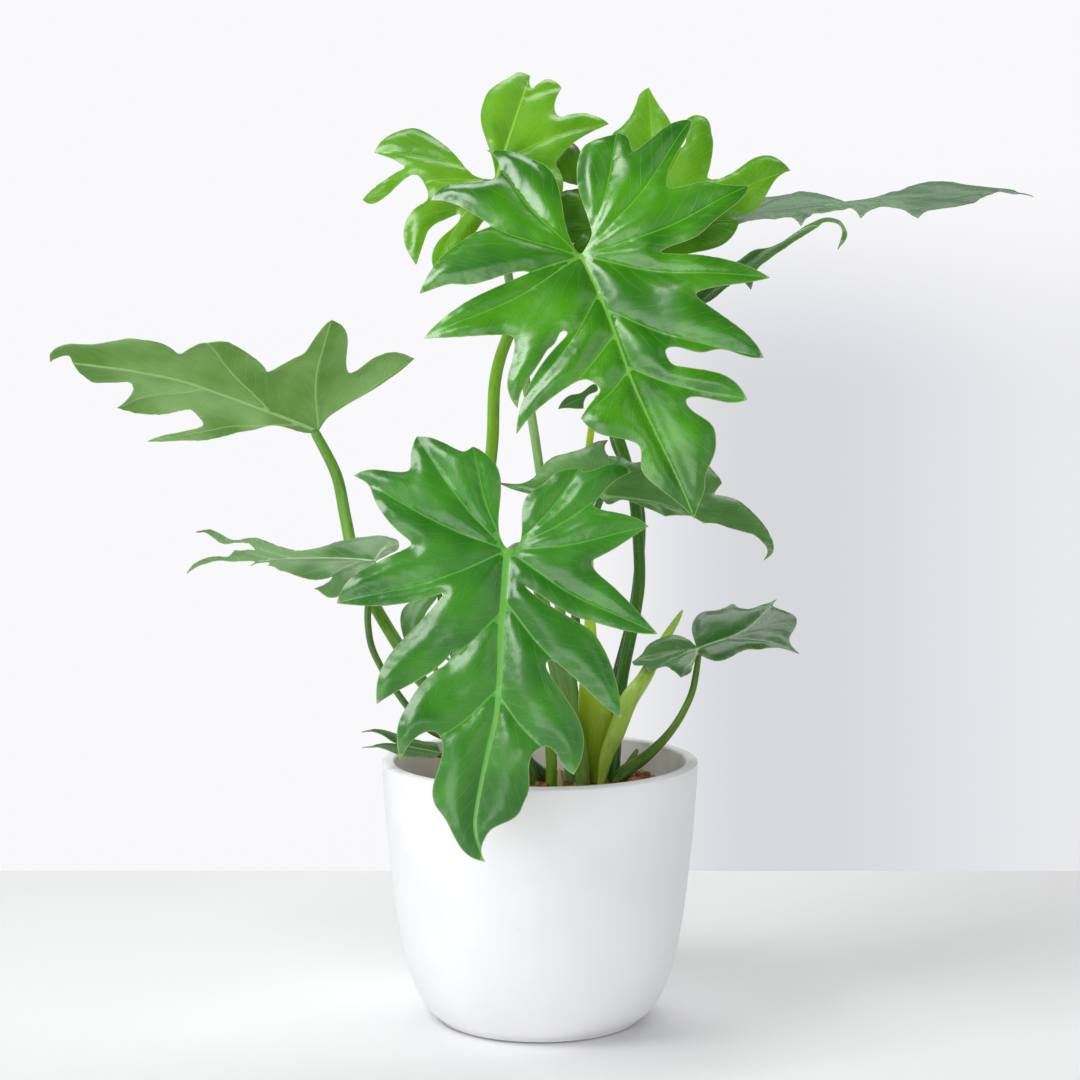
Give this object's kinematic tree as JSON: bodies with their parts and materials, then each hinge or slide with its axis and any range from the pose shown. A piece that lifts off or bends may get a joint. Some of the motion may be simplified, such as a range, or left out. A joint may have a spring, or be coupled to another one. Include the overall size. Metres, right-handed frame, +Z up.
{
  "type": "potted philodendron",
  "caption": "Potted philodendron: deeply lobed green leaf blades on tall petioles from one crown, in mounded soil inside a white pot with a rounded lower edge.",
  "frame": {"origin": "centre of the pot's flat foot, on the surface that it stands on", "axes": "+Z up, -Y the plant's front, +X its right as seen from the front"},
  "size_m": [0.6356, 0.3377, 0.6044],
  "materials": {
    "pot": "matte white, very fine grain",
    "soil": "rough coir potting mix",
    "blade": "glossy green leaf with paler veins",
    "petiole": "smooth green stalk",
    "sheath": "smooth yellow-green sheath",
    "dry": "dry brown"
  },
  "bodies": {
    "root": {"pot": "pot", "soil": "soil", "blade_a": "blade", "blade_b": "blade", "blade_c": "blade", "blade_d": "blade", "blade_e": "blade", "blade_f": "blade", "blade_g": "blade", "blade_h": "blade", "blade_i": "blade", "blade_j": "blade", "blade_k": "blade", "blade_l": "blade", "blade_m": "blade", "petiole_a": "petiole", "petiole_b": "petiole", "petiole_c": "petiole", "petiole_d": "petiole", "petiole_e": "petiole", "petiole_f": "petiole", "petiole_g": "petiole", "petiole_h": "petiole", "petiole_i": "petiole", "petiole_j": "petiole", "petiole_k": "petiole", "petiole_m": "petiole", "sheath_l": "sheath", "spear": "sheath", "yellow_petiole": "sheath", "crown_scale": "sheath", "crown_sheath": "sheath", "dead_stalk": "dry"}
  },
  "joints": []
}
